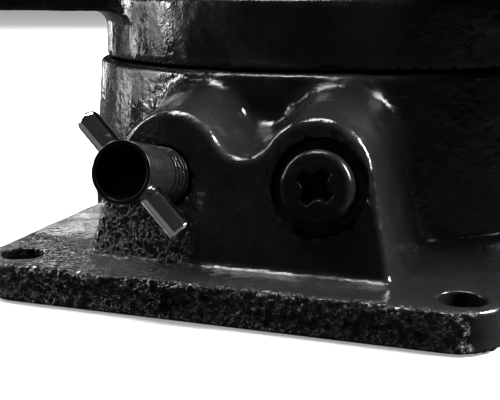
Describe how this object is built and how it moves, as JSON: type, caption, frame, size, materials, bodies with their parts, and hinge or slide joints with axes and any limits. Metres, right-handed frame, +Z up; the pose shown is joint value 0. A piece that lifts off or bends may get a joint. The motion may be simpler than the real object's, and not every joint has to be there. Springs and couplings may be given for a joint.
{
  "type": "machine vise",
  "caption": "Machine vise on a round swivel base; a hollow-ended screw with a small cross bar locks the swivel, a cross-recess screw retains it.",
  "frame": {"origin": "swivel axis of the base, in the plane of its underside", "axes": "+Z up along the swivel axis, -Y towards the front of the base where the lock boss is, +X along the bed towards the handle"},
  "size_m": [0.291, 0.1741, 0.1061],
  "materials": {
    "gloss_black_casting": "gloss black paint over sand-cast iron",
    "dark_screw_steel": "blackened steel",
    "polished_bar": "bright plated steel",
    "ground_steel": "ground hardened steel",
    "turned_steel": "turned steel",
    "bronze": "machined bronze"
  },
  "bodies": {
    "base": {"base_casting": "gloss_black_casting", "retaining_screw": "dark_screw_steel"},
    "brake_plug": {"brake_plug": "bronze"},
    "lock_screw": {"lock_screw": "dark_screw_steel", "lock_bar": "polished_bar"},
    "vise_body": {"vise_body": "gloss_black_casting", "fixed_jaw_plate": "ground_steel", "fixed_plate_screws": "dark_screw_steel", "screw_bush": "bronze", "bush_set_screw": "dark_screw_steel"},
    "moving_jaw": {"moving_jaw": "gloss_black_casting", "moving_jaw_plate": "ground_steel", "moving_plate_screws": "dark_screw_steel", "jaw_keeper": "ground_steel", "keeper_bolts": "dark_screw_steel", "screw_retainer": "dark_screw_steel", "retainer_screws": "turned_steel", "thrust_pad": "ground_steel"},
    "lead_screw": {"lead_screw": "turned_steel", "handle_hub": "gloss_black_casting", "hub_pin": "turned_steel"},
    "handle_bar": {"handle_bar": "polished_bar", "handle_knobs": "polished_bar"}
  },
  "joints": [
    {"name": "swivel", "type": "hinge", "parent": "base", "child": "vise_body", "pos_m": [0, 0, 0.037], "axis": [0, 0, 1], "continuous": true},
    {"name": "jaw_travel", "type": "slide", "parent": "vise_body", "child": "moving_jaw", "axis": [1, 0, 0], "range_m": [-0.0395, 0.05]},
    {"name": "screw_turn", "type": "hinge", "parent": "moving_jaw", "child": "lead_screw", "pos_m": [0.1, 0, 0.0861], "axis": [1, 0, 0], "range_deg": [-3554, 4499]},
    {"name": "handle_slide", "type": "slide", "parent": "lead_screw", "child": "handle_bar", "axis": [0, 1, 0], "range_m": [-0.042, 0.042]},
    {"name": "plug_travel", "type": "slide", "parent": "base", "child": "brake_plug", "axis": [0, -0.9744, 0.225], "range_m": [0, 0.002]},
    {"name": "lock_turn", "type": "hinge", "parent": "brake_plug", "child": "lock_screw", "pos_m": [-0.01365, -0.0728, 0.0207], "axis": [0, -0.9744, 0.225], "range_deg": [0, 480]}
  ],
  "couplings": [
    {"joint": "jaw_travel", "follows": "screw_turn", "m_per_rad": 0.00063662},
    {"joint": "lock_turn", "follows": "plug_travel", "rad_per_m": 4188.8}
  ]
}
